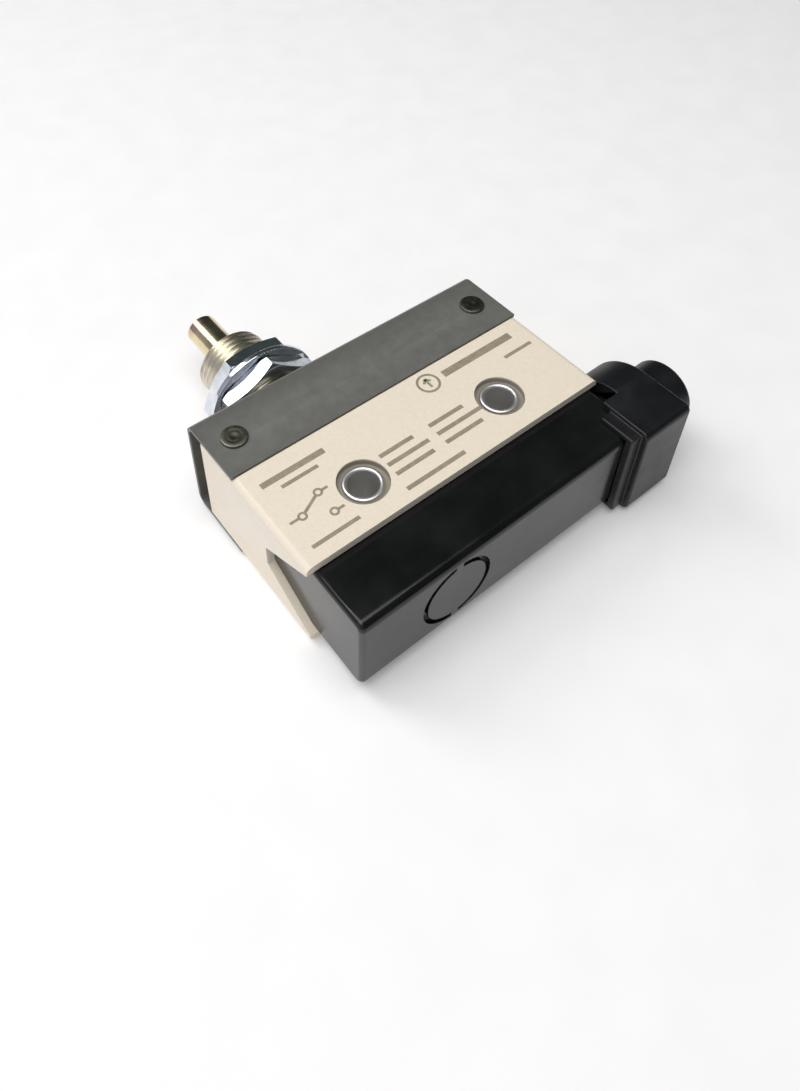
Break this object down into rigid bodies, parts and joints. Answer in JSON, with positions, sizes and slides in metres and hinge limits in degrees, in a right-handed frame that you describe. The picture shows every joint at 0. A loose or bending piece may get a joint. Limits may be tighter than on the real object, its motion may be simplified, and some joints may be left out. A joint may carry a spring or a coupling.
{
  "type": "limit switch",
  "caption": "Enclosed horizontal limit switch with a panel-mount plunger, folded metal cap and clip-on terminal cover with a cable outlet boot.",
  "frame": {"origin": "on the back mounting face, midway between the two mounting holes", "axes": "+Z out of the front face along the mounting holes, +Y towards the plunger tip, +X towards the cable outlet"},
  "size_m": [0.0675, 0.0666, 0.0189],
  "materials": {
    "housing_ivory": "satin moulded ivory plastic",
    "eyelet_nickel": "bright nickel plate",
    "cap_grey": "satin grey enamel on folded sheet steel",
    "rivet_dark": "dark blackened rivet heads with a worn rim",
    "bushing_passivate": "yellow passivated, turned",
    "seal_rubber": "matt black rubber",
    "spring_steel": "drawn wire and ground steel",
    "plunger_passivate": "yellow passivated, polished",
    "nut_zinc": "bright blue zinc plate",
    "unit_phenolic": "dark brown phenolic moulding",
    "button_plastic": "red moulded plastic",
    "blade_copper": "spring copper alloy strip",
    "contact_silver": "silver contact face",
    "terminal_brass": "stamped brass strip",
    "screw_steel": "zinc plated steel",
    "cover_black": "gloss black moulded plastic",
    "boot_black": "satin black rubber"
  },
  "bodies": {
    "base": {"housing": "housing_ivory", "mounting_eyelets": "eyelet_nickel", "top_cap": "cap_grey", "cap_rivets": "rivet_dark", "threaded_bushing": "bushing_passivate", "plunger_seal": "seal_rubber", "spring_seat": "spring_steel", "return_spring": "spring_steel", "switch_case": "unit_phenolic", "switch_case_lid": "unit_phenolic", "case_rivets": "eyelet_nickel", "cavity_seal": "seal_rubber", "com_terminal": "terminal_brass", "no_terminal": "terminal_brass", "nc_terminal": "terminal_brass", "no_contact": "contact_silver", "nc_contact": "contact_silver", "clamp_washers": "screw_steel", "terminal_screws": "screw_steel"},
    "plunger": {"plunger": "plunger_passivate", "overtravel_spring": "spring_steel"},
    "button": {"switch_button": "button_plastic", "actuator_pin": "spring_steel"},
    "tongue": {"actuating_tongue": "blade_copper"},
    "blade": {"snap_blade": "blade_copper", "moving_contact": "contact_silver"},
    "inner_nut": {"inner_hex_nut": "nut_zinc"},
    "washer": {"panel_washer": "nut_zinc"},
    "outer_nut": {"outer_hex_nut": "nut_zinc"},
    "cover": {"terminal_cover": "cover_black", "outlet_boot": "boot_black"}
  },
  "joints": [
    {"name": "plunger_push", "type": "slide", "parent": "base", "child": "plunger", "axis": [0, -1, 0], "range_m": [0, 0.0045], "stiffness_N_per_m": 600, "springref_m": -0.0025, "deforming": ["return_spring", "overtravel_spring"]},
    {"name": "button_press", "type": "slide", "parent": "base", "child": "button", "axis": [0, -1, 0], "range_m": [0, 0.0011]},
    {"name": "tongue_flex", "type": "hinge", "parent": "base", "child": "tongue", "pos_m": [-0.0164, 0.0105, 0.00875], "axis": [0, 0, -1], "range_deg": [0, 11]},
    {"name": "blade_snap", "type": "hinge", "parent": "base", "child": "blade", "pos_m": [-0.0164, 0.0105, 0.00875], "axis": [0, 0, -1], "range_deg": [0, 1.35]},
    {"name": "inner_nut_turn", "type": "hinge", "parent": "base", "child": "inner_nut", "pos_m": [-0.01095, 0.0263, 0.00875], "axis": [0, 1, 0], "range_deg": [-180, 180]},
    {"name": "washer_travel", "type": "slide", "parent": "base", "child": "washer", "axis": [0, 1, 0], "range_m": [0, 0.004]},
    {"name": "outer_nut_turn", "type": "hinge", "parent": "washer", "child": "outer_nut", "pos_m": [-0.01095, 0.0305, 0.00875], "axis": [0, 1, 0], "range_deg": [0, 1440]},
    {"name": "cover_off", "type": "slide", "parent": "base", "child": "cover", "axis": [0, -1, 0], "range_m": [0, 0.022]}
  ],
  "couplings": [
    {"joint": "button_press", "follows": "plunger_push", "ratio": 0.24},
    {"joint": "tongue_flex", "follows": "plunger_push", "rad_per_m": 42},
    {"joint": "blade_snap", "follows": "plunger_push", "rad_per_m": 5.1},
    {"joint": "washer_travel", "follows": "outer_nut_turn", "m_per_rad": 0.00015915}
  ]
}
